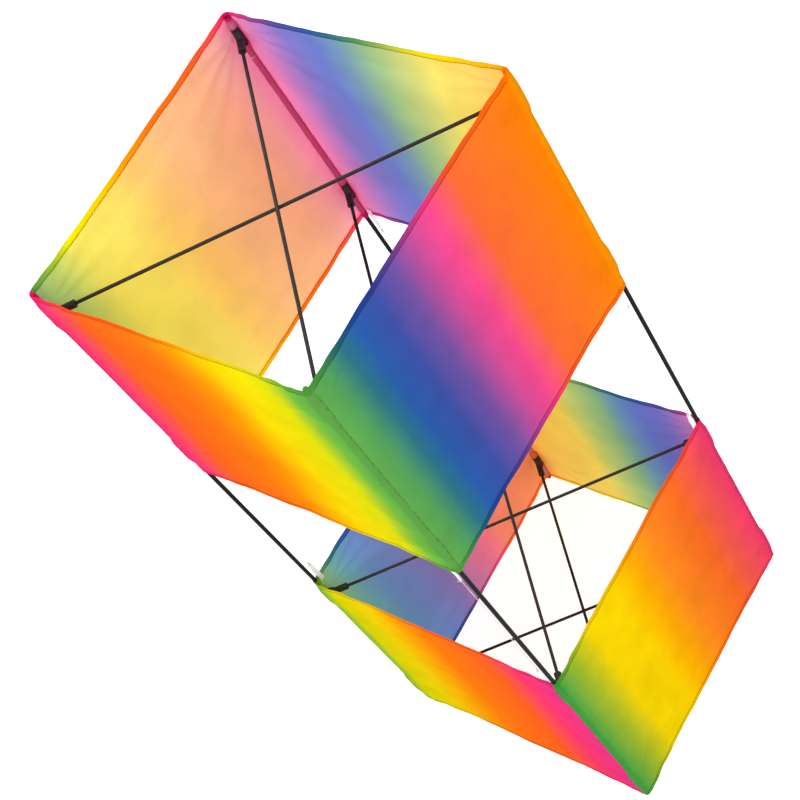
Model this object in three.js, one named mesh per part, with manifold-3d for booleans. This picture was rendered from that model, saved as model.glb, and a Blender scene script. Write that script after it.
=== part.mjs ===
// Two-cell box kite standing on the end of its lower cell. Millimetres, +Z up.
import * as THREE from "three";
import { mergeVertices } from "three/addons/utils/BufferGeometryUtils.js";
import Module from "manifold-3d";

const wasm = await Module();
wasm.setup();
const { Manifold } = wasm;

// Overall sizes
const kiteHeight = 1016;
const spacing = 367; // between the axes of two neighbouring longerons
const cellHeight = 363;
const gap = 0.3; // between touching pieces

// Frame
const longeronRadius = 2.6;
const longeronBore = 1.5;
const rodRadius = 2;
const rodInset = 10; // from the longeron's axis to the rod's end
const crossStep = rodRadius + gap; // each rod of a cross sits this far above or below its level
const levelOffsets = { upper_outer: 36, upper_inner: 52, lower_inner: 36, lower_outer: 50 };

// Fittings
const clipLength = 25;
const clipWall = 1.8;
const clipRadius = longeronRadius + gap + clipWall;
const clipMouth = 3.6; // the mouth is this wide, narrower than the longeron
const wedgeWidth = 7;
const wedgeHalf = 10; // half the wedge's height at the clip
const wedgeReach = 11.5;
const socketReach = 28;
const socketWall = 2.1;
const socketBore = rodRadius + gap;
const socketRadius = socketBore + socketWall;
const socketFlare = socketRadius + 0.3;

// Cloth
const clothThickness = 0.7;
const hemThickness = 1.3;
const hemHeight = 8;
const pocketWall = 0.7;
const pocketCap = 1;
const pocketRadius = longeronRadius + gap + pocketWall;
const bulgeRadius = clipRadius + gap + pocketWall;
const clothOffset = pocketRadius - 0.55; // from the longerons' plane out to the middle of the cloth
const panelInset = bulgeRadius + 0.1; // from the longeron's axis to the panel's edge
const bulgeHalf = clipLength / 2 + 2;
const bulgeSlope = 6;

// Tabs and tension lines
const tabWidth = 6.6;
const tabCentre = panelInset + tabWidth / 2 + 0.6; // from the longeron's axis, along the panel
const tabThickness = 1;
const tabOverlap = 14;
const tabReach = 26; // from the hem to the middle of the tab's eyelet
const eyeRadius = 1.5;
const eyeBore = 0.9;
const lineRadius = 0.4;
const loopRadius = 1.6;
const knotRadius = 1.1;

const half = spacing / 2;
const corners = {
  fl: { x: -half, y: -half, inward: 45, name: "front_left" },
  fr: { x: half, y: -half, inward: 135, name: "front_right" },
  br: { x: half, y: half, inward: 225, name: "back_right" },
  bl: { x: -half, y: half, inward: 315, name: "back_left" },
};
// Each side is drawn as the front one, then turned. The tension line runs at its right end.
const sides = { front: 0, right: 90, back: 180, left: 270 };
const cells = {
  upper: { low: kiteHeight - cellHeight, high: kiteHeight },
  lower: { low: 0, high: cellHeight },
};
const levels = {
  upper_outer: { cell: "upper", z: kiteHeight - levelOffsets.upper_outer },
  upper_inner: { cell: "upper", z: cells.upper.low + levelOffsets.upper_inner },
  lower_inner: { cell: "lower", z: cellHeight - levelOffsets.lower_inner },
  lower_outer: { cell: "lower", z: levelOffsets.lower_outer },
};

const looks = {
  longeron: { color: 0x3a3a3c, roughness: 0.45 },
  rod: { color: 0x2b2522, roughness: 0.4 },
  fitting: { color: 0x161616, roughness: 0.5 },
  cloth: { color: 0xf7a01c, roughness: 0.6 },
  pocket: { color: 0x5cb85c, roughness: 0.6 },
  webbing: { color: 0xeef2f8, roughness: 0.8 },
  line: { color: 0xf2f2f2, roughness: 0.3 },
};

const kite = new THREE.Group();
kite.name = "box_kite";

function toGeometry(solid) {
  const m = solid.getMesh();
  const points = new Float32Array(m.numVert * 3);
  for (let i = 0; i < m.numVert; i++) {
    points.set(m.vertProperties.subarray(i * m.numProp, i * m.numProp + 3), i * 3);
  }
  const geometry = new THREE.BufferGeometry();
  geometry.setAttribute("position", new THREE.BufferAttribute(points, 3));
  geometry.setIndex(new THREE.BufferAttribute(m.triVerts, 1));
  geometry.computeVertexNormals();
  return geometry;
}

function toSolid(geometry) {
  const bare = geometry.clone();
  bare.deleteAttribute("normal");
  bare.deleteAttribute("uv");
  const merged = mergeVertices(bare, 1e-4);
  return new Manifold(
    new wasm.Mesh({
      numProp: 3,
      vertProperties: merged.attributes.position.array,
      triVerts: new Uint32Array(merged.index.array),
    }),
  );
}

function addPart(name, geometry, look) {
  const mesh = new THREE.Mesh(geometry, new THREE.MeshStandardMaterial({ ...looks[look] }));
  mesh.name = name;
  kite.add(mesh);
  return mesh;
}

// A solid of revolution about Z from [radius, z] pairs.
function turned(profile, segments) {
  const points = profile.map(([r, z]) => new THREE.Vector2(r, z));
  return new THREE.LatheGeometry(points, segments).rotateX(Math.PI / 2);
}

// A straight rod along Z between two heights.
function rodAlongZ(radius, low, high, segments) {
  return Manifold.cylinder(high - low, radius, radius, segments).translate([0, 0, low]);
}

// The longerons are tubes, one piece from end to end.
function addLongerons() {
  const low = pocketCap + gap;
  const tube = rodAlongZ(longeronRadius, low, kiteHeight - low, 18).subtract(
    rodAlongZ(longeronBore, low - 1, kiteHeight, 10),
  );
  for (const corner of Object.values(corners)) {
    const mesh = addPart("longeron_" + corner.name, toGeometry(tube), "longeron");
    mesh.position.set(corner.x, corner.y, 0);
  }
}

// Two solid rods cross at each level, one just above the other.
function addSpreaders() {
  const reach = half * Math.SQRT2 - rodInset;
  const rod = rodAlongZ(rodRadius, -reach, reach, 14).rotate([0, 90, 0]);
  for (const [name, level] of Object.entries(levels)) {
    for (const [pair, angle, step] of [["fl_br", 45, crossStep], ["fr_bl", 135, -crossStep]]) {
      const mesh = addPart("spreader_" + name + "_" + pair, toGeometry(rod), "rod");
      mesh.position.z = level.z + step;
      mesh.rotation.z = THREE.MathUtils.degToRad(angle);
    }
  }
}

// A T fitting that points along +X: a clip for the longeron, a wedge and a socket for the rod.
function fittingSolid() {
  const clip = rodAlongZ(clipRadius, -clipLength / 2, clipLength / 2, 18);
  const tip = socketRadius - 0.2;
  const end = new THREE.Shape();
  end.moveTo(0, -wedgeHalf);
  end.lineTo(wedgeReach - 3, -tip - 1.6);
  end.lineTo(wedgeReach, -tip);
  end.lineTo(wedgeReach, tip);
  end.lineTo(wedgeReach - 3, tip + 1.6);
  end.lineTo(0, wedgeHalf);
  const wedge = toSolid(
    new THREE.ExtrudeGeometry(end, { depth: wedgeWidth, bevelEnabled: false })
      .translate(0, 0, -wedgeWidth / 2)
      .rotateX(Math.PI / 2),
  );
  const root = longeronRadius + gap + 1; // inside the wedge
  const profile = [
    [0, root],
    [socketRadius, root],
    [socketRadius, socketReach - 5],
    [socketFlare, socketReach - 0.8],
    [socketFlare - 0.5, socketReach],
    [0, socketReach],
  ];
  const socket = toSolid(turned(profile, 14)).rotate([0, 90, 0]);
  const bore = rodAlongZ(longeronRadius + gap, -clipLength, clipLength, 18);
  const rodBore = rodAlongZ(socketBore, rodInset - gap, socketReach + 1, 14).rotate([0, 90, 0]);
  const mouth = Manifold.cube([clipRadius * 2, clipMouth, clipLength * 2], true);
  const solid = clip.add(wedge).add(socket).subtract(bore).subtract(rodBore);
  return solid.subtract(mouth.translate([-clipRadius, 0, 0]));
}

function addFittings() {
  const solid = fittingSolid();
  for (const [name, level] of Object.entries(levels)) {
    for (const [key, corner] of Object.entries(corners)) {
      const step = key === "fl" || key === "br" ? crossStep : -crossStep;
      const mesh = addPart("fitting_" + name + "_" + key, toGeometry(solid), "fitting");
      mesh.position.set(corner.x, corner.y, level.z + step);
      mesh.rotation.z = THREE.MathUtils.degToRad(corner.inward);
    }
  }
}

// A sleeve round the longeron, closed at the kite's end, with a bulge and a window at each clip.
function pocketSolid(cell, isUpper, step) {
  const length = cellHeight;
  const heights = Object.values(levels)
    .filter((level) => level.cell === cell)
    .map((level) => level.z + step - cells[cell].low)
    .map((z) => (isUpper ? length - z : z))
    .sort((a, b) => a - b);
  const wall = (radius) => {
    const line = [];
    for (const z of heights) {
      line.push([radius, z - bulgeHalf - bulgeSlope]);
      line.push([radius + bulgeRadius - pocketRadius, z - bulgeHalf]);
      line.push([radius + bulgeRadius - pocketRadius, z + bulgeHalf]);
      line.push([radius, z + bulgeHalf + bulgeSlope]);
    }
    return line;
  };
  const inner = pocketRadius - pocketWall;
  const profile = [
    [0, 0],
    [pocketRadius, 0],
    ...wall(pocketRadius),
    [pocketRadius, length],
    [inner, length],
    ...wall(inner).reverse(),
    [inner, pocketCap],
    [0, pocketCap],
  ];
  let solid = toSolid(turned(profile, 16));
  for (const z of heights) {
    const size = [bulgeRadius * 2, bulgeRadius * 4, bulgeHalf * 2 - 1];
    const window = Manifold.cube(size, true).translate([bulgeRadius + 0.6, 0, z]);
    solid = solid.subtract(window);
  }
  return isUpper ? solid.rotate([180, 0, 0]).translate([0, 0, length]) : solid;
}

function addPockets() {
  for (const cell of Object.keys(cells)) {
    for (const [key, corner] of Object.entries(corners)) {
      const step = key === "fl" || key === "br" ? crossStep : -crossStep;
      const solid = pocketSolid(cell, cell === "upper", step);
      const mesh = addPart("pocket_" + cell + "_" + key, toGeometry(solid), "pocket");
      mesh.position.set(corner.x, corner.y, cells[cell].low);
      mesh.rotation.z = THREE.MathUtils.degToRad(corner.inward);
    }
  }
}

// A panel of cloth with a folded hem along its top and bottom.
function panelGeometry() {
  const hem = hemThickness / 2;
  const web = clothThickness / 2;
  const section = new THREE.Shape();
  section.moveTo(-hem, 0);
  section.lineTo(hem, 0);
  section.lineTo(hem, hemHeight);
  section.lineTo(web, hemHeight);
  section.lineTo(web, cellHeight - hemHeight);
  section.lineTo(hem, cellHeight - hemHeight);
  section.lineTo(hem, cellHeight);
  section.lineTo(-hem, cellHeight);
  section.lineTo(-hem, cellHeight - hemHeight);
  section.lineTo(-web, cellHeight - hemHeight);
  section.lineTo(-web, hemHeight);
  section.lineTo(-hem, hemHeight);
  const width = spacing - 2 * panelInset;
  return new THREE.ExtrudeGeometry(section, { depth: width, bevelEnabled: false })
    .translate(0, 0, -width / 2)
    .rotateX(Math.PI / 2)
    .rotateZ(Math.PI / 2)
    .translate(0, -half - clothOffset, 0);
}

// A webbing tab against the inside of the hem, with an eyelet at its free end, reaching up.
function tabSolid() {
  const length = tabReach + eyeRadius + tabOverlap;
  const strap = Manifold.cube([tabWidth, tabThickness, length], true);
  const eye = rodAlongZ(eyeBore, -tabThickness, tabThickness, 10).rotate([90, 0, 0]);
  return strap
    .translate([0, 0, length / 2 - tabOverlap])
    .subtract(eye.translate([0, 0, tabReach]));
}

// A line that is looped through both eyelets and knotted.
function lineSolid(low, high) {
  const ring = new THREE.TorusGeometry(loopRadius, lineRadius, 6, 12).rotateY(Math.PI / 2);
  const loop = (z) => toSolid(ring).translate([0, 0, z]);
  const middle = (eyeRadius + eyeBore) / 2; // of the cloth beyond the eyelet
  const lowLoop = low + middle;
  const highLoop = high - middle;
  const knot = Manifold.sphere(knotRadius, 8);
  return rodAlongZ(lineRadius, lowLoop + loopRadius, highLoop - loopRadius, 8)
    .add(loop(lowLoop))
    .add(loop(highLoop))
    .add(knot.translate([0, 0, lowLoop + loopRadius + 0.4]))
    .add(knot.translate([0, 0, highLoop - loopRadius - 0.4]));
}

function addSides() {
  const panel = panelGeometry();
  const tab = tabSolid();
  const tabY = -half - clothOffset + hemThickness / 2 + gap + tabThickness / 2;
  const tabX = half - tabCentre;
  for (const [side, angle] of Object.entries(sides)) {
    const group = new THREE.Group();
    group.rotation.z = THREE.MathUtils.degToRad(angle);
    kite.add(group);
    for (const [cell, span] of Object.entries(cells)) {
      const mesh = addPart("panel_" + cell + "_" + side, panel.clone(), "cloth");
      mesh.position.z = span.low;
      group.add(mesh);
      const isUpper = cell === "upper";
      const strap = addPart("tab_" + cell + "_" + side, toGeometry(tab), "webbing");
      strap.position.set(tabX, tabY, isUpper ? span.low : span.high);
      strap.rotation.y = isUpper ? Math.PI : 0;
      group.add(strap);
    }
    const low = cells.lower.high + tabReach;
    const high = cells.upper.low - tabReach;
    const line = addPart("line_" + side, toGeometry(lineSolid(low, high)), "line");
    line.position.set(tabX, tabY, 0);
    group.add(line);
  }
}

addLongerons();
addSpreaders();
addFittings();
addPockets();
addSides();

export default kite;
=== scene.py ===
import bpy
import math
import numpy as np
from mathutils import Matrix, Vector, noise


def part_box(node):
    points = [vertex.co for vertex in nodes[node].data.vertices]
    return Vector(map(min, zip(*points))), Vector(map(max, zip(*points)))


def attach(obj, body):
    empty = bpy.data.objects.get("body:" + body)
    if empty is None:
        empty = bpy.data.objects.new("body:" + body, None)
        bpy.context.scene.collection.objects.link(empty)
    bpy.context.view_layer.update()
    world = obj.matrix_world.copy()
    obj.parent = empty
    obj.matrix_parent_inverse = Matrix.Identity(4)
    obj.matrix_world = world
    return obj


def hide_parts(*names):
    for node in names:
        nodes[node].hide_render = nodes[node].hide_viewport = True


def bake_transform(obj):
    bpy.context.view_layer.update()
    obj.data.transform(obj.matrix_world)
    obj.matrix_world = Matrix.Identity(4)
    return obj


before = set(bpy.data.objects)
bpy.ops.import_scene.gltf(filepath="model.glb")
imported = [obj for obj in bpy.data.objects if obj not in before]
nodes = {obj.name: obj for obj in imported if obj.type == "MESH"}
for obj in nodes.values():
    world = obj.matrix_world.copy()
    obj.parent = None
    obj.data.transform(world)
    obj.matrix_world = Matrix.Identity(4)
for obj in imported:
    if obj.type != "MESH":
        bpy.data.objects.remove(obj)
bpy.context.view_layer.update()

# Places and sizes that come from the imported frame, in metres.
longeronNode = {"fl": "longeron_front_left", "fr": "longeron_front_right",
                "br": "longeron_back_right", "bl": "longeron_back_left"}
corners = {key: sum(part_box(name), Vector()) / 2 for key, name in longeronNode.items()}
spacing = corners["fr"].x - corners["fl"].x
cells = {cell: tuple(p.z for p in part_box("panel_" + cell + "_front")) for cell in ("upper", "lower")}
tall = cells["upper"][1] - cells["upper"][0]
levels = ("upper_outer", "upper_inner", "lower_inner", "lower_outer")
# Sides run anticlockwise seen from above: first corner, last corner, body.
sides = {"front": ("fl", "fr", "front_frame"), "right": ("fr", "br", "right_side"),
         "back": ("br", "bl", "back_side"), "left": ("bl", "fl", "left_side")}
cornerBody = {"fl": "front_frame", "fr": "front_frame", "br": "right_side", "bl": "left_side"}
fittingBody = {"fl": "fl_fittings", "fr": "front_frame", "br": "br_spreaders", "bl": "left_side"}


# The heights of a corner's two fittings above the foot of their cell.
def fittingHeights(cell, corner):
    boxes = [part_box("fitting_" + level + "_" + corner) for level in levels if level.startswith(cell)]
    return sorted((low.z + high.z) / 2 - cells[cell][0] for low, high in boxes)


# Along and outward directions of a side.
def directions(side):
    first, last = corners[sides[side][0]], corners[sides[side][1]]
    along = np.array([last.x - first.x, last.y - first.y]) / spacing
    return along, np.array([along[1], -along[0]])


camera = {"at": (-0.6279, -1.2027, 2.2250), "look": (0.29104, 0.58007, -0.7608),
          "up": (0.81833, 0.26102, 0.51206), "lens": 83.73}


def addCamera():
    data = bpy.data.cameras.new("camera")
    data.lens = camera["lens"]
    data.clip_start, data.clip_end = 0.05, 50
    obj = bpy.data.objects.new("camera", data)
    back = -Vector(camera["look"]).normalized()
    right = Vector(camera["up"]).cross(back).normalized()
    turn = Matrix((right, back.cross(right), back)).transposed().to_4x4()
    obj.matrix_world = Matrix.Translation(camera["at"]) @ turn
    bpy.context.scene.collection.objects.link(obj)
    bpy.context.scene.camera = obj


addCamera()
print("camera placed")


def toLinear(hexText):
    parts = [int(hexText[i:i + 2], 16) / 255 for i in (1, 3, 5)]
    return tuple(c / 12.92 if c <= 0.04045 else ((c + 0.055) / 1.055) ** 2.4 for c in parts) + (1.0,)


# Adds a node with its settings, its inputs (values or sockets) and, for a ramp, its stops. Returns its main
# output.
def addNode(tree, kind, inputs=None, stops=None, output=0, **settings):
    node = tree.nodes.new(kind)
    for key, value in settings.items():
        setattr(node, key, value)
    for key, value in (inputs or {}).items():
        if isinstance(value, bpy.types.NodeSocket):
            tree.links.new(value, node.inputs[key])
        else:
            node.inputs[key].default_value = value
    if stops:
        elements = node.color_ramp.elements
        elements.remove(elements[1])
        elements[0].position, elements[0].color = stops[0]
        for place, colour in stops[1:]:
            elements.new(place).color = colour
    return node.outputs[output] if len(node.outputs) else None


def newMaterial(name):
    mat = bpy.data.materials.new(name)
    mat.use_nodes = True
    mat.node_tree.nodes.clear()
    return mat, mat.node_tree


# The print: side widths from its first edge, colour of the dyed face, colour of the paler back.
# The two cells are cut from it a little differently.
# The back colours hold painted light: each cell's are raised past the cloth's own paler back for the light that
# comes into it.
rainbow = {
    "upper": [
        (0.00, "#4DB05A", "#B5DA90"), (0.10, "#A8D02E", "#D0EC80"), (0.18, "#E6E304", "#FFFF6E"),
        (0.34, "#F3DA00", "#FFFF76"), (0.46, "#FAAE00", "#FFF884"), (0.60, "#F9860C", "#FFF8AE"),
        (0.82, "#F96E1E", "#FFF0B8"), (0.93, "#F6584E", "#FFEEE0"), (1.00, "#F4308C", "#FFC8FA"),
        (1.08, "#B0489E", "#E0A0FF"), (1.18, "#5556AE", "#9088FF"), (1.30, "#3164B6", "#5E88FF"),
        (1.40, "#34809A", "#74B4E6"), (1.50, "#5CAA66", "#AAE0AC"), (1.72, "#EEE404", "#F4F486"),
        (1.96, "#F4C400", "#FFEA80"), (2.03, "#F88E06", "#FBC27E"),
        (2.32, "#F4743A", "#F8A292"),
        (2.43, "#F2509A", "#F48ABC"), (2.50, "#D455A0", "#DE8ACC"), (2.60, "#7C5AAC", "#B08CD6"),
        (2.70, "#4258AE", "#828CD8"), (2.79, "#2F64B4", "#7392DC"), (2.86, "#327E90", "#7CAFC0"),
        (2.93, "#5AA866", "#A4D0A0"), (3.06, "#7EC446", "#BCDC84"), (3.16, "#E0E20A", "#EEE56C"),
        (3.33, "#F3DC00", "#F9E46A"), (3.50, "#FAA000", "#FBC87A"), (3.62, "#F9820E", "#FBB880"),
        (3.84, "#F96C20", "#FAA88A"), (4.00, "#F8308C", "#F58ABA"),
    ],
    "lower": [
        (0.00, "#4FB050", "#B5DA90"), (0.10, "#AAC42E", "#C6DA78"), (0.20, "#EEDA02", "#F6E468"),
        (0.36, "#F3D800", "#F8E46E"), (0.48, "#F7B400", "#FBD57A"), (0.60, "#F69222", "#FCC188"),
        (0.78, "#F27428", "#FFBE98"), (1.00, "#F04078", "#F392B4"),
        (1.07, "#A8489E", "#C898F8"), (1.16, "#5458AE", "#767EFF"), (1.26, "#3164B6", "#4F7EFF"),
        (1.35, "#34809A", "#56B0F4"), (1.44, "#5CAA66", "#96E0B0"), (1.56, "#AACF38", "#CEEC98"),
        (1.66, "#EEE404", "#F4E46E"), (1.94, "#F3D000", "#F8DC6A"), (2.01, "#F6870A", "#FBB07C"),
        (2.32, "#F46C42", "#F8A488"), (2.40, "#F4569A", "#F488AC"),
        (2.52, "#D455A0", "#D088C4"), (2.62, "#6C5AAC", "#9084E4"), (2.72, "#3C5CB0", "#74A4FF"),
        (2.82, "#2F64B4", "#62B4FF"), (2.90, "#328090", "#6ED8F4"), (3.00, "#7CC040", "#B4DC80"),
        (3.06, "#DEDA02", "#EEE46C"), (3.18, "#EED802", "#F6DC68"), (3.34, "#F6A800", "#FBC86C"),
        (3.44, "#F8860A", "#FBB47C"), (3.70, "#F96A22", "#FAA488"), (3.84, "#F74078", "#F68CB0"),
        (4.00, "#EE3C98", "#F088BC"),
    ],
}
ripstop = {"ripPitch": 0.0032, "yarnPitch": 0.0009, "ripDark": 0.09, "through": 0.45, "backPaintedLight": 0.16,
           "deepen": 0.2, "flapPaintedLight": 0.5, "roughness": 0.62, "ribHeight": 0.00005, "yarnHeight": 0.00002,
           "crumpleHeight": 0.0009, "paintedLightHex": "#F2DCE8", "glowHex": "#FFFFFF", "glowPale": (0.0, 0.6)}


# Ripstop polyester, plain woven and dyed on one face: a fine squared grain, a soft sheen, and light comes
# through it. Its yarns are about 0.25 mm apart, drawn at 0.9 mm so that they show.
def ripstopMaterial(name, cell, face, sheer=0.0):
    mat, tree = newMaterial(name)
    cloth = addNode(tree, "ShaderNodeUVMap", uv_map="cloth")
    along = addNode(tree, "ShaderNodeSeparateXYZ", {0: cloth})
    up = along.node.outputs[1]
    share = addNode(tree, "ShaderNodeMath", {0: along, 1: 4 * spacing}, operation="DIVIDE")
    # The back is made paler still than its hex values with painted light, which makes up for the far cloth's
    # colour that falls on it.
    white = ripstop["backPaintedLight"] * face
    dye = addNode(tree, "ShaderNodeValToRGB", {0: share},
                  [(place / 4, [c + (1 - c) * white for c in toLinear(colours[face])])
                   for place, *colours in rainbow[cell]])
    cloud = addNode(tree, "ShaderNodeTexNoise", {"Vector": cloth, "Scale": 24.0, "Detail": 5.0})
    value = addNode(tree, "ShaderNodeMapRange", {0: cloud, 1: 0.3, 2: 0.7, 3: 0.95, 4: 1.05})
    ribs, waves = [], []
    for axis in (along, up):
        step = addNode(tree, "ShaderNodeMath", {0: axis, 1: ripstop["ripPitch"]}, operation="DIVIDE")
        step = addNode(tree, "ShaderNodeMath", {0: step}, operation="FRACT")
        step = addNode(tree, "ShaderNodeMath", {0: step, 1: 0.5}, operation="SUBTRACT")
        step = addNode(tree, "ShaderNodeMath", {0: step}, operation="ABSOLUTE")
        ribs.append(addNode(tree, "ShaderNodeMapRange", {0: step, 1: 0.36, 2: 0.46, 3: 0.0, 4: 1.0}))
        wave = addNode(tree, "ShaderNodeMath", {0: axis, 1: 2 * math.pi / ripstop["yarnPitch"]},
                       operation="MULTIPLY")
        waves.append(addNode(tree, "ShaderNodeMath", {0: wave}, operation="SINE"))
    rib = addNode(tree, "ShaderNodeMath", {0: ribs[0], 1: ribs[1]}, operation="MAXIMUM")
    yarn = addNode(tree, "ShaderNodeMath", {0: waves[0], 1: waves[1]}, operation="MULTIPLY")
    fold = addNode(tree, "ShaderNodeAttribute", attribute_name="fold", output=2)
    value = addNode(tree, "ShaderNodeMath", {0: rib, 1: -ripstop["ripDark"], 2: value},
                    operation="MULTIPLY_ADD")
    # A hem's flap turns its dyed face inward, and painted light raises its colour by a quarter there, so that it
    # looks brighter than the paler backs round it.
    lift = addNode(tree, "ShaderNodeMath", {0: fold, 1: -1.0}, operation="MULTIPLY", use_clamp=True)
    value = addNode(tree, "ShaderNodeMath", {0: lift, 1: ripstop["flapPaintedLight"], 2: value},
                    operation="MULTIPLY_ADD")
    # Where the cloth is double the light crosses the dye twice, which deepens its colour more than it darkens.
    deep = addNode(tree, "ShaderNodeMath", {0: fold, 1: ripstop["deepen"], 2: 1.0}, operation="MULTIPLY_ADD")
    dye = addNode(tree, "ShaderNodeGamma", {"Color": dye, "Gamma": deep})
    colour = addNode(tree, "ShaderNodeHueSaturation", {"Color": dye, "Value": value})
    if sheer:
        # The sleeve's inside is mixed toward a near-white pink by a share kept on each point: painted light.
        sleevePaintedLight = addNode(tree, "ShaderNodeAttribute", attribute_name="sleevePaintedLight", output=2)
        colour = addNode(tree, "ShaderNodeMix", {0: sleevePaintedLight, 6: colour, 7: toLinear(ripstop["paintedLightHex"])},
                         data_type="RGBA", output=2)
    crumple = addNode(tree, "ShaderNodeTexNoise", {"Vector": cloth, "Scale": 60.0, "Detail": 3.0})
    height = addNode(tree, "ShaderNodeMath", {0: rib, 1: ripstop["ribHeight"], 2: 0.0},
                     operation="MULTIPLY_ADD")
    height = addNode(tree, "ShaderNodeMath", {0: yarn, 1: ripstop["yarnHeight"], 2: height},
                     operation="MULTIPLY_ADD")
    height = addNode(tree, "ShaderNodeMath", {0: crumple, 1: ripstop["crumpleHeight"], 2: height},
                     operation="MULTIPLY_ADD")
    bump = addNode(tree, "ShaderNodeBump", {"Height": height, "Strength": 0.6, "Distance": 1.0})
    skin = addNode(tree, "ShaderNodeBsdfPrincipled",
                   {"Base Color": colour, "Roughness": ripstop["roughness"], "Specular IOR Level": 0.0,
                    "Sheen Weight": 0.01, "Sheen Roughness": 0.5, "Normal": bump})
    lit = addNode(tree, "ShaderNodeMix",
                  {0: ripstop["glowPale"][face], 6: colour, 7: toLinear(ripstop["glowHex"])},
                  data_type="RGBA", output=2)
    glow = addNode(tree, "ShaderNodeBsdfTranslucent", {"Color": lit, "Normal": bump})
    seen = addNode(tree, "ShaderNodeMixShader", {0: ripstop["through"], 1: skin, 2: glow})
    if sheer:
        clear = addNode(tree, "ShaderNodeBsdfTransparent")
        seen = addNode(tree, "ShaderNodeMixShader", {0: sheer, 1: seen, 2: clear})
    addNode(tree, "ShaderNodeOutputMaterial", {0: seen})
    return mat


clothFace = {cell: ripstopMaterial("ripstopPolyesterFace_" + cell, cell, 0) for cell in cells}
clothBack = {cell: ripstopMaterial("ripstopPolyesterBack_" + cell, cell, 1) for cell in cells}
clothSheer = {cell: ripstopMaterial("ripstopPolyesterSleeveInside_" + cell, cell, 0, 0.2) for cell in cells}

plain = {
    "fibreglassTube": {"low": "#0B0B0C", "high": "#18181A", "rough": 0.50, "grain": 40, "depth": 0.00015,
                       "stretch": (90, 90, 2), "shine": 0.07},
    "fibreglassRod": {"low": "#151211", "high": "#28221E", "rough": 0.48, "grain": 40, "depth": 0.00012,
                      "stretch": (60, 60, 60), "shine": 0.25},
    "mouldedSoftPvc": {"low": "#0D0D0D", "high": "#1D1C1C", "rough": 0.46, "grain": 900, "depth": 0.0002,
                       "stretch": (1, 1, 1), "shine": 0.4},
    # The panels' thread is dark brown as painted shade, standing for the shade in its stitch holes.
    "spunPolyesterThread": {"low": "#22150E", "high": "#38281E", "rough": 0.75, "grain": 2500,
                            "depth": 0.0003, "stretch": (1, 1, 1), "shine": 0.4},
    "spunPolyesterThreadWhite": {"low": "#DADCE0", "high": "#F7F8FA", "rough": 0.7, "grain": 2500,
                                 "depth": 0.0003, "stretch": (1, 1, 1), "shine": 0.4},
}


# Pultruded glass fibre shows long drawn streaks under a satin resin, moulded PVC a fine matt grain and spun
# thread a twist.
def plainMaterial(name):
    facts = plain[name]
    mat, tree = newMaterial(name)
    place = addNode(tree, "ShaderNodeTexCoord", output=3)
    place = addNode(tree, "ShaderNodeMapping", {0: place, 3: facts["stretch"]})
    speck = addNode(tree, "ShaderNodeTexNoise",
                    {"Vector": place, "Scale": float(facts["grain"]), "Detail": 6.0})
    colour = addNode(tree, "ShaderNodeValToRGB", {0: speck},
                     [(0.3, toLinear(facts["low"])), (0.7, toLinear(facts["high"]))])
    worn = addNode(tree, "ShaderNodeMapRange",
                   {0: speck, 1: 0.3, 2: 0.7, 3: facts["rough"] - 0.07, 4: facts["rough"] + 0.09})
    bump = addNode(tree, "ShaderNodeBump", {"Height": speck, "Strength": 0.5, "Distance": facts["depth"]})
    skin = addNode(tree, "ShaderNodeBsdfPrincipled",
                   {"Base Color": colour, "Roughness": worn, "Specular IOR Level": facts["shine"],
                    "Normal": bump})
    addNode(tree, "ShaderNodeOutputMaterial", {0: skin})
    return mat


tubeMat, rodMat, pvcMat, darkThreadPaintedShadeMat, whiteThread = [plainMaterial(name) for name in plain]

webbing = {"lowHex": "#E4E8F1", "highHex": "#FBFCFF", "pitch": 0.0008, "roughness": 0.72}


# Woven polyester tape: cross ribs with a herringbone lean, soft and slightly fuzzy.
def webbingMaterial():
    mat, tree = newMaterial("wovenPolyesterTape")
    cloth = addNode(tree, "ShaderNodeUVMap", uv_map="cloth")
    wave = addNode(tree, "ShaderNodeTexWave",
                   {"Vector": cloth, "Scale": 1 / webbing["pitch"] / 6.2832 * 2, "Distortion": 1.2,
                    "Detail": 2.0},
                   bands_direction="DIAGONAL", output=1)
    colour = addNode(tree, "ShaderNodeValToRGB", {0: wave},
                     [(0.1, toLinear(webbing["lowHex"])), (0.7, toLinear(webbing["highHex"]))])
    bump = addNode(tree, "ShaderNodeBump", {"Height": wave, "Strength": 0.6, "Distance": 0.0002})
    skin = addNode(tree, "ShaderNodeBsdfPrincipled",
                   {"Base Color": colour, "Roughness": webbing["roughness"], "Sheen Weight": 0.3,
                    "Normal": bump})
    glow = addNode(tree, "ShaderNodeBsdfTranslucent", {"Color": colour})
    seen = addNode(tree, "ShaderNodeMixShader", {0: 0.25, 1: skin, 2: glow})
    addNode(tree, "ShaderNodeOutputMaterial", {0: seen})
    return mat


filament = {"lowHex": "#E2E4E8", "highHex": "#F6F7FA"}


# Nylon monofilament: drawn clear, so it shows as a bright edge line with a little haze.
def monofilamentMaterial():
    mat, tree = newMaterial("nylonMonofilament")
    place = addNode(tree, "ShaderNodeTexCoord", output=3)
    haze = addNode(tree, "ShaderNodeTexNoise", {"Vector": place, "Scale": 300.0, "Detail": 3.0})
    rough = addNode(tree, "ShaderNodeMapRange", {0: haze, 1: 0.3, 2: 0.7, 3: 0.18, 4: 0.34})
    colour = addNode(tree, "ShaderNodeValToRGB", {0: haze},
                     [(0.3, toLinear(filament["lowHex"])), (0.7, toLinear(filament["highHex"]))])
    skin = addNode(tree, "ShaderNodeBsdfPrincipled",
                   {"Base Color": colour, "Roughness": rough, "IOR": 1.53, "Transmission Weight": 0.45})
    addNode(tree, "ShaderNodeOutputMaterial", {0: skin})
    return mat


tapeMat, lineMat = webbingMaterial(), monofilamentMaterial()
print("materials made")


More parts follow.
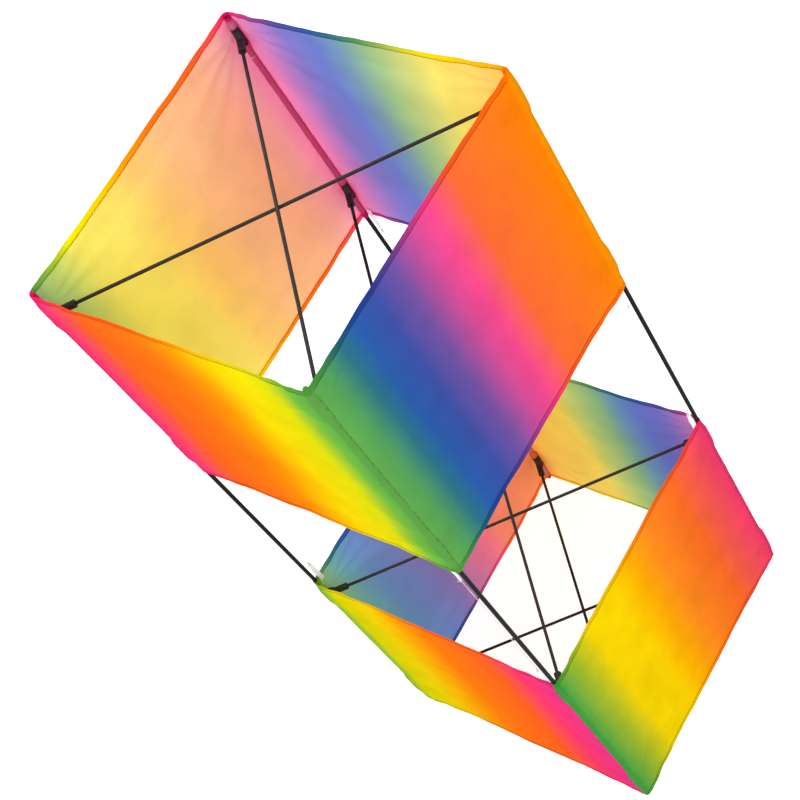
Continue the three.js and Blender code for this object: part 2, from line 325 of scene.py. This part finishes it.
def addObject(name, verts, faces, mats, sharp=None):
    mesh = bpy.data.meshes.new(name)
    mesh.from_pydata(np.asarray(verts, float).reshape(-1, 3).tolist(), [], faces)
    mesh.polygons.foreach_set("use_smooth", [True] * len(mesh.polygons))
    if sharp:
        mesh.set_sharp_from_angle(angle=math.radians(sharp))
    for mat in mats:
        mesh.materials.append(mat)
    obj = bpy.data.objects.new(name, mesh)
    bpy.context.scene.collection.objects.link(obj)
    return obj


# A tube along a path, with a radius at each point.
def sweep(path, radii, around, first=0):
    path = [Vector(p) for p in path]
    verts, faces, side = [], [], None
    for i, p in enumerate(path):
        ahead = (path[min(i + 1, len(path) - 1)] - path[max(i - 1, 0)]).normalized()
        side = ahead.orthogonal() if side is None else side - ahead * side.dot(ahead)
        side.normalize()
        other = ahead.cross(side)
        for k in range(around):
            a = 2 * math.pi * k / around
            verts.append(p + (side * math.cos(a) + other * math.sin(a)) * radii[i])
    for i in range(len(path) - 1):
        for k in range(around):
            m = (k + 1) % around
            at, up = first + i * around, first + (i + 1) * around
            faces.append((at + k, at + m, up + m, up + k))
    end = first + (len(path) - 1) * around
    faces.append(tuple(first + k for k in reversed(range(around))))
    faces.append(tuple(end + k for k in range(around)))
    return verts, faces


tension = {"radius": 0.0004, "around": 10, "bow": 0.0012, "loop": 0.0016, "tail": 0.006, "knotUp": 0.0006,
           "knotTall": 0.0018, "knotWide": 1.6}


# One clear line between the tabs of a side, looped through their eyelets and knotted, with its tails left on.
def addLine(side):
    low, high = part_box("line_" + side)
    body = sides[side][2]
    along, out = directions(side)
    along, out = Vector((*along, 0)), Vector((*out, 0))
    x, y = (low.x + high.x) / 2, (low.y + high.y) / 2
    r = tension["radius"]
    loops = [low.z + tension["loop"] + r, high.z - tension["loop"] - r]
    ends = [loops[0] + tension["loop"], loops[1] - tension["loop"]]
    path = []
    for t in np.linspace(0, 1, 17):
        sag = tension["bow"] * math.sin(math.pi * t)
        path.append(Vector((x, y, ends[0] + (ends[1] - ends[0]) * t)) + along * sag)
    main = addObject("line_" + side + "_run", *sweep(path, [r] * len(path), tension["around"]), [lineMat])
    trim = []
    for name, z, way in (("low", loops[0], 1), ("high", loops[1], -1)):
        centre = Vector((x, y, z))
        ring = [centre + (out * math.cos(a) + Vector((0, 0, 1)) * math.sin(a)) * tension["loop"]
                for a in np.linspace(0, 2 * math.pi, 29)]
        verts, faces = sweep(ring, [r] * 29, 8)
        # The knot is three turns packed round the line.
        heart = centre + Vector((0, 0, way * (tension["loop"] + tension["knotUp"])))
        turns = []
        for a in np.linspace(0, 6 * math.pi, 40):
            wide = r * tension["knotWide"] * (1 - 0.25 * math.cos(a / 3 - math.pi))
            turns.append(heart + (out * math.cos(a) + along * math.sin(a)) * wide +
                         Vector((0, 0, way * (a / (6 * math.pi) - 0.5) * tension["knotTall"])))
        v, f = sweep(turns, [r] * 40, 8, len(verts))
        verts += v
        faces += f
        # Two tails curl away from it.
        for swing, reach in ((0.9, 1.0), (-0.6, 0.62)):
            tail = []
            for t in np.linspace(0, 1, 12):
                curl = swing * 1.6 * t
                step = along * -math.sin(curl) * 0.8 + out * 0.35 * swing * t
                step = step + Vector((0, 0, way * math.cos(curl)))
                tail.append(heart + along * -r + step * tension["tail"] * reach * t)
            v, f = sweep(tail, [r * 0.5] * 12, 6, len(verts))
            verts += v
            faces += f
        trim.append(addObject("line_" + side + "_knot_" + name, verts, faces, [lineMat]))
    for obj in [main] + trim:
        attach(obj, body)
    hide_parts("line_" + side)


for side in sides:
    addLine(side)
print("lines made")

sail = {"rowPitch": 0.0038, "columnPitch": 0.0062, "thickness": 0.00022, "fold": 0.00042, "hem": 0.008,
        "sag": 0.0042, "hemHold": 0.75, "hemDip": 0.0008, "crease": 0.0018, "ripple": 0.0013,
        "band": 0.0105, "bandRise": 0.0005, "loft": 0.0014, "pucker": 0.0010, "puckerPitch": 0.0135,
        "puckerReach": 0.032, "seam": 0.0018, "seamDepth": 0.0006, "stand": 0.0030, "hold": 0.042,
        "tautLine": 0.012, "tautWide": 0.03, "creaseReach": 0.09, "creaseCount": 15}
sleeve = {"tip": 0.0030, "neck": 0.0036, "bulge": 0.0057, "wall": 0.0003, "around": 36, "slope": 0.018,
          "inSlope": 0.010, "window": 0.0135, "windowArc": 76, "tipGap": 0.0045}


def smooth(t):
    t = np.clip(t, 0, 1)
    return t * t * (3 - 2 * t)


# Radius of the sleeve at a height in its cell, wider where a fitting is inside it. On the kite's outer side it
# narrows slowly, all the way from the outer fitting to the kite's end.
def sleeveRadius(cell, z, heights, slope):
    rise = np.zeros_like(z)
    outer, room = (heights[1], tall - heights[1]) if cell == "upper" else (heights[0], heights[0])
    for h in heights:
        endward = (z > h) == (cell == "upper")
        isLong = endward & (h == outer) & (slope == sleeve["slope"])
        wide = np.where(isLong, room - sleeve["window"], slope)
        rise = np.maximum(rise, 1 - smooth((np.abs(z - h) - sleeve["window"]) / wide))
    return sleeve["neck"] + (sleeve["bulge"] - sleeve["neck"]) * rise


# Distance from the corner that the side's sewn band belongs to.
def fromBand(cell, s):
    return spacing - s if cell == "upper" else s


# How far the cloth stands out from the plane of its two longerons.
def standOut(cell, side, s, z):
    first, last, _ = sides[side]
    hFirst, hLast = fittingHeights(cell, first), fittingHeights(cell, last)
    t = np.clip(s / spacing, 0, 1)
    middle = np.sin(np.pi * t)
    holdFirst = np.exp(-(s / sail["hold"]) ** 1.3)
    holdLast = np.exp(-((spacing - s).clip(0) / sail["hold"]) ** 1.3)
    # It is drawn tight along the lines from fitting to fitting, and a little along the diagonals between them.
    taut = np.zeros_like(s)
    for i, a in enumerate(hFirst):
        for k, b in enumerate(hLast):
            far = np.abs(z - a - (b - a) * t)
            line = 0.6 * np.exp(-far / sail["tautLine"]) + 0.4 * np.exp(-(far / sail["tautWide"]) ** 2)
            taut = np.maximum(taut, line * (1.0 if i == k else 0.4))
    nearHem = np.minimum(z, tall - z)
    slack = sail["sag"] * (1 - 0.9 * taut) * (1 - sail["hemHold"] * np.exp(-nearHem / 0.03))
    out = sail["stand"] - slack * middle ** 0.7
    out = out * (1 - holdFirst - holdLast)
    for heights, hold in ((hFirst, holdFirst), (hLast, holdLast)):
        out = out + (sleeveRadius(cell, z, heights, sleeve["slope"]) - 0.0002) * hold
    # Creases fan out from each fitting.
    for heights, reach in ((hFirst, s), (hLast, spacing - s)):
        for h in heights:
            far = np.maximum(reach, 1e-4)
            angle = np.arctan2(z - h, far)
            fade = np.exp(-far / sail["creaseReach"]) * smooth(far / 0.02) * np.exp(-(angle / 0.8) ** 2)
            out = out + sail["crease"] * fade * np.cos(angle * sail["creaseCount"] + h * 90)
    # One side of a corner carries the band, a second layer that lifts the cloth near the hems. The other
    # carries the seam, in a groove with puckers that are deepest beside the fittings.
    e = fromBand(cell, s)
    inBand = 1 - smooth((e - sail["band"]) / 0.0012)
    out = out + sail["bandRise"] * inBand * smooth((e - 0.002) / 0.003)
    out = out + sail["loft"] * np.exp(-((e - 0.020) / 0.013) ** 2) * np.exp(-nearHem / 0.04)
    far = spacing - e
    gather = np.sin(z * 2 * np.pi / sail["puckerPitch"] + 2.2 * np.sin(z * 47) + 1.1 * np.sin(z * 113))
    seamHeights = hFirst if cell == "upper" else hLast
    beside = np.maximum(*[np.exp(-((z - h) / sail["puckerReach"]) ** 2) for h in seamHeights])
    out = out + sail["pucker"] * np.exp(-((far - 0.004) / 0.005) ** 2) * gather * (0.4 + 0.6 * beside)
    out = out + 0.6 * sail["pucker"] * np.exp(-((e - 0.006) / 0.006) ** 2) * np.roll(gather, 3)
    return out - sail["seamDepth"] * np.exp(-((far - sail["seam"]) / 0.0013) ** 2)


def surface(cell, side, s, z, behind=0.0):
    s, z = np.broadcast_arrays(np.asarray(s, float), np.asarray(z, float))
    along, out = directions(side)
    order = list(sides).index(side)
    phase = 6.1 * order + (0 if cell == "upper" else 40)
    t = np.clip(s / spacing, 0, 1)
    rough = [noise.noise((a * 15 + phase, b * 5, phase)) + 0.6 * noise.noise((a * 42, b * 7 + phase, phase))
             for a, b in zip(s.ravel(), z.ravel())]
    push = standOut(cell, side, s, z) + sail["ripple"] * np.sin(np.pi * t) ** 0.6 * np.reshape(rough, s.shape)
    push = push - behind
    # Hems run in a shallow curve between the sleeves' ends.
    e = np.minimum(s, spacing - s).clip(0)
    dip = sail["hemDip"] * (1 - np.exp(-(e / 0.022) ** 1.5))
    z = z + dip * np.exp(-(z / 0.07) ** 1.3) - dip * np.exp(-((tall - z).clip(0) / 0.07) ** 1.3)
    first = corners[sides[side][0]]
    return np.stack([first.x + along[0] * s + out[0] * push, first.y + along[1] * s + out[1] * push,
                     z + cells[cell][0]], -1)


# Place in the print, in metres from its first edge.
def printPlace(cell, side, s):
    if cell == "lower":
        return list(sides).index(side) * spacing + s
    return {"back": 0, "right": 1, "front": 2, "left": 3}[side] * spacing + spacing - s


# A grid of cloth with its place in the print, its folded parts and its parts paled with painted light.
def addCloth(name, points, uvs, marks, mats, closed=False, skip=None, slots=None):
    rows, columns = points.shape[:2]
    faces, places, slot = [], [], []
    for r in range(rows - 1):
        for c in range(columns if closed else columns - 1):
            if skip is None or not skip[r, c]:
                d = (c + 1) % columns
                faces.append((r * columns + c, r * columns + d, (r + 1) * columns + d, (r + 1) * columns + c))
                places += [uvs[r, c], uvs[r, c + 1], uvs[r + 1, c + 1], uvs[r + 1, c]]
                slot.append(0 if slots is None else int(slots[r, c]))
    obj = addObject(name, points, faces, mats)
    obj.data.uv_layers.new(name="cloth").data.foreach_set("uv", np.array(places, np.float32).ravel())
    for key, values in marks.items():
        layer = obj.data.attributes.new(key, "FLOAT", "POINT")
        layer.data.foreach_set("value", np.ascontiguousarray(values, np.float32).ravel())
    obj.data.polygons.foreach_set("material_index", slot)
    return obj


def thicken(obj, thickness, backSlot):
    mod = obj.modifiers.new("thickness", "SOLIDIFY")
    mod.thickness, mod.offset, mod.material_offset = thickness, -1, backSlot
    mod.use_quality_normals = True


stitch = {"pitch": 0.0027, "long": 0.0021, "thick": 0.00075, "fromEdge": 0.0069,
          "tapeLong": 0.0012, "tapeThick": 0.0003}


# Thread stitches along a line of points, lying on the cloth, whose outward normal is given.
def stitchRun(points, normal, long, thick):
    verts, faces = [], []
    for i in range(1, len(points) - 1):
        ahead = Vector(points[i + 1] - points[i - 1]).normalized()
        out = Vector(normal)
        out = (out - ahead * out.dot(ahead)).normalized()
        side = ahead.cross(out)
        centre = Vector(points[i]) + out * 0.00006
        at = len(verts)
        ahead, out, side = ahead * long / 2, out * thick / 2, side * thick / 2
        verts += [centre - ahead, centre + ahead]
        for share in (-0.55, 0.55):
            verts += [centre + ahead * share + v for v in (out, side, -out, -side)]
        for k in range(4):
            m = (k + 1) % 4
            faces += [(at, at + 2 + m, at + 2 + k), (at + 2 + k, at + 2 + m, at + 6 + m, at + 6 + k),
                      (at + 1, at + 6 + k, at + 6 + m)]
    return verts, faces


def addStitches(name, runs, body, mat, long, thick):
    verts, faces = [], []
    for points, normal in runs:
        v, f = stitchRun(points, normal, long, thick)
        faces += [tuple(i + len(verts) for i in face) for face in f]
        verts += v
    obj = addObject(name, verts, faces, [mat], 40)
    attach(obj, body)
    return obj


# One panel: up its outer face, with a hem folded in along both free edges.
def addPanel(cell, side):
    body = sides[side][2]
    r, hem = sail["fold"], sail["hem"]
    turns = np.linspace(0, math.pi, 6)[1:-1]
    flap = np.linspace(hem, r, 6)
    count = round((tall - 0.030) / sail["rowPitch"])
    ends = np.append(r, hem + np.array([-0.0075, -0.005, -0.0028, -0.0014, -0.0004, 0.0004, 0.002]))
    face = np.concatenate([ends, np.linspace(0.015, tall - 0.015, count), tall - ends[::-1]])
    # Height, distance behind the face, place along the cloth.
    rows = [(x, 2 * r, -x) for x in flap]
    rows += [(r - r * math.sin(a), r + r * math.cos(a), 0) for a in turns]
    rows += [(x, 0, x) for x in face]
    rows += [(tall - r + r * math.sin(a), r - r * math.cos(a), tall) for a in turns]
    rows += [(tall - x, 2 * r, tall + x) for x in flap[::-1]]
    height, behind, length = np.array(rows).T
    edge = np.array([0, 0.0012, 0.0024, 0.0038, 0.0054, 0.007, 0.0086, 0.0098, 0.0106, 0.0116, 0.013, 0.016])
    count = round((spacing - 0.042) / sail["columnPitch"])
    s = np.concatenate([edge, np.linspace(0.021, spacing - 0.021, count), spacing - edge[::-1]])
    acrossS, upZ = np.meshgrid(s, height)
    e = np.minimum(acrossS, spacing - acrossS)
    depth = behind[:, None] * (0.45 + 0.55 * smooth(e / 0.009))
    points = surface(cell, side, acrossS, upZ, depth)
    uvs = np.stack([printPlace(cell, side, acrossS), np.broadcast_to(length[:, None], e.shape)], -1)
    near = np.minimum(upZ, tall - upZ)
    folds = 1 - smooth((near - hem + 0.0004) / 0.0008)
    folds = np.maximum(folds, 0.05 * (1 - smooth((fromBand(cell, acrossS) - 0.0100) / 0.0008)))
    # The flap is marked -0.5, which the material turns into painted light that brightens it.
    folds[behind > 1.9 * r] = -0.5
    obj = addCloth("sail_" + cell + "_" + side, points, uvs, {"fold": folds},
                   [clothFace[cell], clothBack[cell]])
    thicken(obj, sail["thickness"], 1)
    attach(obj, body)
    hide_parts("panel_" + cell + "_" + side)
    # Lockstitch along both hems, seen on both faces, and down the corner seam, in a dark thread whose colour is
    # painted shade.
    out = np.array([*directions(side)[1], 0.0])
    run = np.arange(0.006, spacing - 0.006, stitch["pitch"])
    rise = np.arange(0.009, tall - 0.009, stitch["pitch"])
    runs = []
    for z in (stitch["fromEdge"], tall - stitch["fromEdge"]):
        runs += [(surface(cell, side, run, z), out), (surface(cell, side, run, z, 2 * r), -out)]
    runs += [(surface(cell, side, fromBand(cell, spacing - sail["seam"]), rise), out)]
    trim = addStitches("stitches_" + cell + "_" + side, runs, body, darkThreadPaintedShadeMat,
                       stitch["long"], stitch["thick"])


# The sleeve round a longeron: closed at the kite's end, open at the other, with a window at each fitting.
def addSleeve(cell, key):
    heights = fittingHeights(cell, key)
    before = next(name for name, facts in sides.items() if facts[1] == key)
    after = next(name for name, facts in sides.items() if facts[0] == key)
    nBefore, nAfter = directions(before)[1], directions(after)[1]
    count = sleeve["around"]
    theta = np.linspace(0, 2 * math.pi, count, endpoint=False)
    # Distance from the closed end, and the share of the full radius there.
    cap = [(0.0, 0.10), (0.0001, 0.45), (0.0004, 0.78), (0.0009, 0.93), (0.0016, 0.99), (0.0024, 1.0)]
    marks = {0.0034, sleeve["tipGap"], 0.0066, 0.0082, sail["hem"] - 0.0004, sail["hem"] + 0.0004}
    marks |= set(np.linspace(0.013, tall, 92))
    flip = cell == "upper"
    for h in heights:
        marks |= {(tall - h if flip else h) + way * sleeve["window"] for way in (-1, 1)}
    marks = sorted(marks)
    fromEnd = np.array([c[0] for c in cap] + marks)
    share = np.array([c[1] for c in cap] + [1.0] * len(marks))
    z = tall - fromEnd if flip else fromEnd
    if flip:
        z, share = z[::-1], share[::-1]
    around, height = np.meshgrid(theta, z)
    seed = list(corners).index(key) * 4.0 + (20 if flip else 0)
    wrinkle = np.reshape([noise.noise((math.cos(a) * 1.4 + seed, math.sin(a) * 1.4, b * 60)) +
                          0.5 * noise.noise((math.cos(a) * 2 + seed, math.sin(a) * 2, b * 170))
                          for a, b in zip(around.ravel(), height.ravel())], around.shape)
    turn = np.degrees(np.abs((around - 0.25 * math.pi) % (2 * math.pi) - math.pi))
    slim = sleeveRadius(cell, height, heights, sleeve["inSlope"])
    wide = sleeveRadius(cell, height, heights, sleeve["slope"])
    radius = slim + (wide - slim) * smooth((turn - 85) / 45)
    fromTip = tall - height if flip else height
    slimmer = (sleeve["neck"] - sleeve["tip"]) * (1 - smooth(fromTip / 0.012))
    radius = radius - slimmer * (1 - smooth((turn - 85) / 45))
    radius = (radius + 0.0003 * (wrinkle - 0.4)) * share[:, None]
    spoke = np.cos(around)[..., None] * nBefore + np.sin(around)[..., None] * nAfter
    centre = corners[key]
    points = np.stack([centre.x + spoke[..., 0] * radius, centre.y + spoke[..., 1] * radius,
                       height + cells[cell][0]], -1)
    # It is folded from the side that carries the band, so it has that side's print. At the back left, where the
    # upper cell's print begins, it is folded from the side after.
    isAfter = cell == "lower" or key == "bl"
    owner, edge, inner = (after, 0.0, 0.004) if isAfter else (before, spacing, spacing - 0.004)
    start, inside = printPlace(cell, owner, edge), printPlace(cell, owner, inner)
    wrap, rise = np.meshgrid(np.linspace(0, 2 * math.pi, count + 1), z)
    uvs = np.stack([inside + (start - inside) * 0.8 * np.cos(wrap - 0.25 * math.pi), rise], -1)
    middle = theta + math.pi / count
    arc = np.degrees(np.abs((middle - 0.25 * math.pi) % (2 * math.pi) - math.pi))
    mid = (z[1:] + z[:-1]) / 2
    midEnd = tall - mid if flip else mid
    nearest = np.min([np.abs(mid - h) for h in heights], axis=0)
    skip = (nearest < sleeve["window"])[:, None] & (arc < sleeve["windowArc"])[None, :]
    skip |= ((midEnd > 0.0014) & (midEnd < sleeve["tipGap"]))[:, None] & (arc < 26)[None, :]
    slots = np.broadcast_to((arc < 104).astype(int), skip.shape)
    near = np.minimum(height, tall - height)
    folds = np.full_like(turn, 0.08)
    folds = np.maximum(folds, 1 - smooth((near - sail["hem"] + 0.0004) / 0.0008))
    outer = 1 - smooth((height - heights[0]) / 0.01) if not flip else smooth((height - heights[1]) / 0.01)
    # Painted light: the inner arc is paled, more beyond the outer fitting toward the kite's open end, and not at
    # the hems.
    sleevePaintedLight = (0.16 + 0.22 * outer) * smooth((near - sail["hem"]) / 0.002)
    obj = addCloth("sleeve_" + cell + "_" + key, points, uvs, {"fold": folds, "sleevePaintedLight": sleevePaintedLight},
                   [clothFace[cell], clothSheer[cell]], True, skip, slots)
    thicken(obj, sleeve["wall"], 0)
    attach(obj, cornerBody[key])
    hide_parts("pocket_" + cell + "_" + key)


for cell in cells:
    for side in sides:
        addPanel(cell, side)
    for key in corners:
        addSleeve(cell, key)
print("cloth made")

tube = {"bore": 0.0015, "boreDepth": 0.02, "around": 32, "lip": 0.0003}


# A pultruded tube with its cut ends just broken.
def addLongeron(key):
    low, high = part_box(longeronNode[key])
    r, bore, lip = (high.x - low.x) / 2, tube["bore"], tube["lip"]
    heights = list(np.linspace(low.z + 0.004, high.z - 0.004, 40))
    profile = [(bore, low.z + tube["boreDepth"]), (bore, low.z + lip), (bore + lip / 2, low.z), (r - lip, low.z),
               (r, low.z + lip)] + [(r, z) for z in heights]
    profile += [(r, high.z - lip), (r - lip, high.z), (bore + lip / 2, high.z), (bore, high.z - lip),
                (bore, high.z - tube["boreDepth"])]
    n = tube["around"]
    centre = corners[key]
    verts = [(centre.x + a * math.cos(2 * math.pi * k / n),
              centre.y + a * math.sin(2 * math.pi * k / n), z) for a, z in profile for k in range(n)]
    rows = len(profile)
    faces = [(i * n + k, i * n + (k + 1) % n, (i + 1) % rows * n + (k + 1) % n, (i + 1) % rows * n + k)
             for i in range(rows) for k in range(n)]
    obj = addObject("tube_" + key, verts, faces, [tubeMat], 35)
    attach(obj, cornerBody[key])
    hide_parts(longeronNode[key])


rod = {"inset": 0.010, "around": 20, "rings": 60, "bendFrom": 0.02}


# A solid rod across the cell. The pair that shortens as the frame leans is left on no body, and the others go on
# the spreaders' body.
def addRod(level, pair):
    node = "spreader_" + level + "_" + pair
    low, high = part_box(node)
    a, b = [corners[key].copy() for key in pair.split("_")]
    a.z = b.z = (low.z + high.z) / 2
    ahead = (b - a).normalized()
    first, last = a + ahead * rod["inset"], b - ahead * rod["inset"]
    length = (last - first).length
    steps = [0, 0.0002, 0.0007, 0.0015] + list(np.linspace(0.004, length - 0.004, rod["rings"]))
    steps += [length - 0.0015, length - 0.0007, length - 0.0002, length]
    r = (high.z - low.z) / 2
    radii = [r - 0.0005, r - 0.0002, r, r] + [r] * rod["rings"] + [r, r, r - 0.0002, r - 0.0005]
    path = [first + ahead * x for x in steps]
    obj = addObject("rod_" + level + "_" + pair, *sweep(path, radii, rod["around"]), [rodMat], 50)
    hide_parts(node)
    if pair == "fr_bl":
        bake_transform(obj)
    else:
        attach(obj, "br_spreaders")


fitting = {"voxel": 0.00036, "soften": 5, "keep": 0.3,
           "pointsTo": {"fl": 45, "fr": 135, "br": 225, "bl": 315}}


# The T fitting's shape with its edges melted round, as a soft moulding's are. It points along +X.
def mouldedFitting():
    low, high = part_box("fitting_upper_outer_fl")
    axis = corners["fl"]
    obj = bpy.data.objects.new("moulding", nodes["fitting_upper_outer_fl"].data.copy())
    bpy.context.scene.collection.objects.link(obj)
    obj.data.transform(Matrix.Rotation(-math.radians(45), 4, "Z") @
                       Matrix.Translation((-axis.x, -axis.y, -(low.z + high.z) / 2)))
    melt = obj.modifiers.new("melt", "REMESH")
    melt.mode, melt.voxel_size = "VOXEL", fitting["voxel"]
    soften = obj.modifiers.new("soften", "SMOOTH")
    soften.factor, soften.iterations = 0.5, fitting["soften"]
    fewer = obj.modifiers.new("fewer", "DECIMATE")
    fewer.ratio = fitting["keep"]
    mesh = bpy.data.meshes.new_from_object(obj.evaluated_get(bpy.context.evaluated_depsgraph_get()))
    bpy.data.objects.remove(obj)
    mesh.materials.clear()
    mesh.materials.append(pvcMat)
    mesh.polygons.foreach_set("use_smooth", [True] * len(mesh.polygons))
    return mesh


moulding = mouldedFitting()
for key in corners:
    addLongeron(key)
for level in levels:
    addRod(level, "fl_br")
    addRod(level, "fr_bl")
    for key in corners:
        node = "fitting_" + level + "_" + key
        low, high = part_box(node)
        obj = bpy.data.objects.new("clip_" + level + "_" + key, moulding)
        bpy.context.scene.collection.objects.link(obj)
        obj.matrix_world = (Matrix.Translation((corners[key].x, corners[key].y, (low.z + high.z) / 2)) @
                            Matrix.Rotation(math.radians(fitting["pointsTo"][key]), 4, "Z"))
        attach(obj, fittingBody[key])
        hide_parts(node)
print("frame dressed")

tab = {"width": 0.0066, "thickness": 0.0009, "overlap": 0.014, "reach": 0.026, "hole": 0.00095, "tip": 0.0027,
       "taper": 0.011, "binding": 0.00035, "bindingThread": 0.00016}


# A webbing tab sewn inside a hem, narrowed to its eyelet, with a thread-bound hole and box stitching.
def addTab(cell, side):
    low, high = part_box("tab_" + cell + "_" + side)
    along, out = directions(side)
    along, out = Vector((*along, 0)), Vector((*out, 0))
    way = -1 if cell == "upper" else 1
    foot = cells[cell][0] if cell == "upper" else cells[cell][1]
    centre = Vector(((low.x + high.x) / 2, (low.y + high.y) / 2, foot))
    half = tab["width"] / 2

    def place(x, z, lift=0.0):
        lean = 0.0004 * math.sin(z * 260)
        return centre + along * x + Vector((0, 0, way * z)) + out * (lift + lean)

    ring = np.radians(np.arange(24) * 15.0)
    hole = [(tab["hole"] * math.cos(a), tab["reach"] + tab["hole"] * math.sin(a)) for a in ring]
    rim = []
    for a in ring:
        if 225 <= round(math.degrees(a)) <= 315:
            rim.append((tab["tip"] / -math.tan(a), tab["reach"] - tab["tip"]))
        else:
            far = tab["tip"] if math.sin(a) < 0 else tab["tip"] * (1 - 0.28 * math.sin(a) ** 2)
            reach = far / max(abs(math.cos(a)), abs(math.sin(a)) * 0.999) if math.sin(a) < 0 else far
            rim.append((reach * math.cos(a), tab["reach"] + reach * math.sin(a)))
    verts = [place(x, z) for x, z in hole + rim]
    uvs = list(hole + rim)
    faces = [(k, 24 + k, 24 + (k + 1) % 24, (k + 1) % 24) for k in range(24)]
    base = [24 + k for k in range(15, 22)]
    for z in np.linspace(tab["reach"] - tab["tip"] - 0.0012, -tab["overlap"], 24):
        wide = half + (tab["tip"] - half) * min(1, max(0, z - tab["reach"] + tab["taper"]) / 0.007)
        fresh = []
        for k in range(7):
            x = (k / 3 - 1) * wide
            fresh.append(len(verts))
            verts.append(place(x, z))
            uvs.append((x, z))
        faces += [(fresh[k], fresh[k + 1], base[k + 1], base[k]) for k in range(6)]
        base = fresh
    obj = addObject("tape_" + cell + "_" + side, verts, faces, [tapeMat])
    layer = obj.data.uv_layers.new(name="cloth")
    for loop in obj.data.loops:
        layer.data[loop.index].uv = uvs[loop.vertex_index]
    thick = obj.modifiers.new("thickness", "SOLIDIFY")
    thick.thickness, thick.offset = tab["thickness"], 0
    soft = obj.modifiers.new("edges", "BEVEL")
    soft.width, soft.segments, soft.limit_method, soft.angle_limit = 0.00022, 2, "ANGLE", math.radians(50)
    # Box stitching with a cross, and a bound eyelet.
    runs = []
    a, b, x = 0.0012 - tab["overlap"], -0.0016, half - 0.0008
    box = [((-x, a), (x, a)), ((x, a), (x, b)), ((x, b), (-x, b)), ((-x, b), (-x, a))]
    for p, q in box + [((-x, a), (x, b)), ((x, a), (-x, b))]:
        count = max(3, round(math.dist(p, q) / 0.0014) + 2)
        line = [np.array(place(p[0] + (q[0] - p[0]) * t, p[1] + (q[1] - p[1]) * t, -tab["thickness"] / 2))
                for t in np.linspace(-0.1, 1.1, count)]
        runs.append((line, -out))
    trim = addStitches("tape_stitches_" + cell + "_" + side, runs, sides[side][2], whiteThread,
                       stitch["tapeLong"], stitch["tapeThick"])
    verts, faces = [], []
    for k in range(18):
        a = 2 * math.pi * k / 18
        coil = []
        for t in np.linspace(0, 2 * math.pi, 9):
            wide = tab["hole"] + tab["binding"] + tab["binding"] * math.cos(t)
            coil.append(place(wide * math.cos(a), tab["reach"] + wide * math.sin(a), 0.00062 * math.sin(t)))
        v, f = sweep(coil, [tab["bindingThread"]] * 9, 5, len(verts))
        verts += v
        faces += f
    eye = addObject("tape_eyelet_" + cell + "_" + side, verts, faces, [whiteThread])
    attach(obj, sides[side][2])
    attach(eye, sides[side][2])
    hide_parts("tab_" + cell + "_" + side)


for cell in cells:
    for side in sides:
        addTab(cell, side)
print("tabs made")

tack = {"below": 0.033, "wide": 0.0042, "turns": 7, "zigzag": 0.0007, "thread": 0.0003}


# A white bar tack closes each sleeve between its two fittings.
def addTack(cell, key):
    heights = fittingHeights(cell, key)
    z = heights[1] - tack["below"] if cell == "upper" else heights[0] + tack["below"]
    inward = Vector((-math.copysign(1, corners[key].x), -math.copysign(1, corners[key].y), 0)).normalized()
    across = Vector((-inward.y, inward.x, 0))
    path = []
    for i in range(tack["turns"] * 2 + 1):
        side = (i / tack["turns"] - 1) * tack["wide"] / 2
        depth = math.sqrt(max(0, (sleeve["neck"] + 0.0002) ** 2 - side ** 2))
        foot = Vector((corners[key].x, corners[key].y, cells[cell][0] + z))
        path.append(foot + inward * depth + across * side + Vector((0, 0, tack["zigzag"] * (-1) ** i)))
    radii = [tack["thread"]] * len(path)
    obj = addObject("bar_tack_" + cell + "_" + key, *sweep(path, radii, 6), [whiteThread])
    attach(obj, cornerBody[key])


for cell in cells:
    for key in corners:
        addTack(cell, key)
print("bar tacks made")

studio = {"floorHex": "#B4B4B4", "floorGlow": 0.82, "floorFar": 12, "skyHex": "#FFFFFF", "sky": 0.98,
          "lamps": {"key": (46, (-2.2, -0.8, 3.2), 2.4), "fill": (22, (2.2, -2.4, 2.2), 2.6),
                    "back": (75, (2.4, 2.4, 2.2), 2.4)}}


def addStudio():
    scene = bpy.context.scene
    scene.world = bpy.data.worlds.new("studio")
    scene.world.use_nodes = True
    back = scene.world.node_tree.nodes["Background"]
    back.inputs[0].default_value = toLinear(studio["skyHex"])
    back.inputs[1].default_value = studio["sky"]
    mat, tree = newMaterial("opalLightTable")
    grain = addNode(tree, "ShaderNodeTexNoise", {"Scale": 900.0})
    bump = addNode(tree, "ShaderNodeBump", {"Height": grain, "Strength": 0.05, "Distance": 0.0005})
    skin = addNode(tree, "ShaderNodeBsdfPrincipled",
                   {"Base Color": toLinear(studio["floorHex"]), "Roughness": 0.9, "Specular IOR Level": 0.1,
                    "Emission Color": (1, 1, 1, 1), "Emission Strength": studio["floorGlow"], "Normal": bump})
    addNode(tree, "ShaderNodeOutputMaterial", {0: skin})
    far = studio["floorFar"]
    floor = addObject("floor", [(-far, -far, 0), (far, -far, 0), (far, far, 0), (-far, far, 0)], [(0, 1, 2, 3)],
                      [mat])
    for name, (watts, place, size) in studio["lamps"].items():
        data = bpy.data.lights.new(name, "AREA")
        data.energy, data.size = watts, size
        lamp = bpy.data.objects.new(name, data)
        lamp.location = place
        lamp.rotation_euler = (Vector((0, 0, 0.5)) - lamp.location).to_track_quat("-Z", "Y").to_euler()
        scene.collection.objects.link(lamp)
    scene.view_settings.view_transform = "Standard"


addStudio()
print("studio lit")
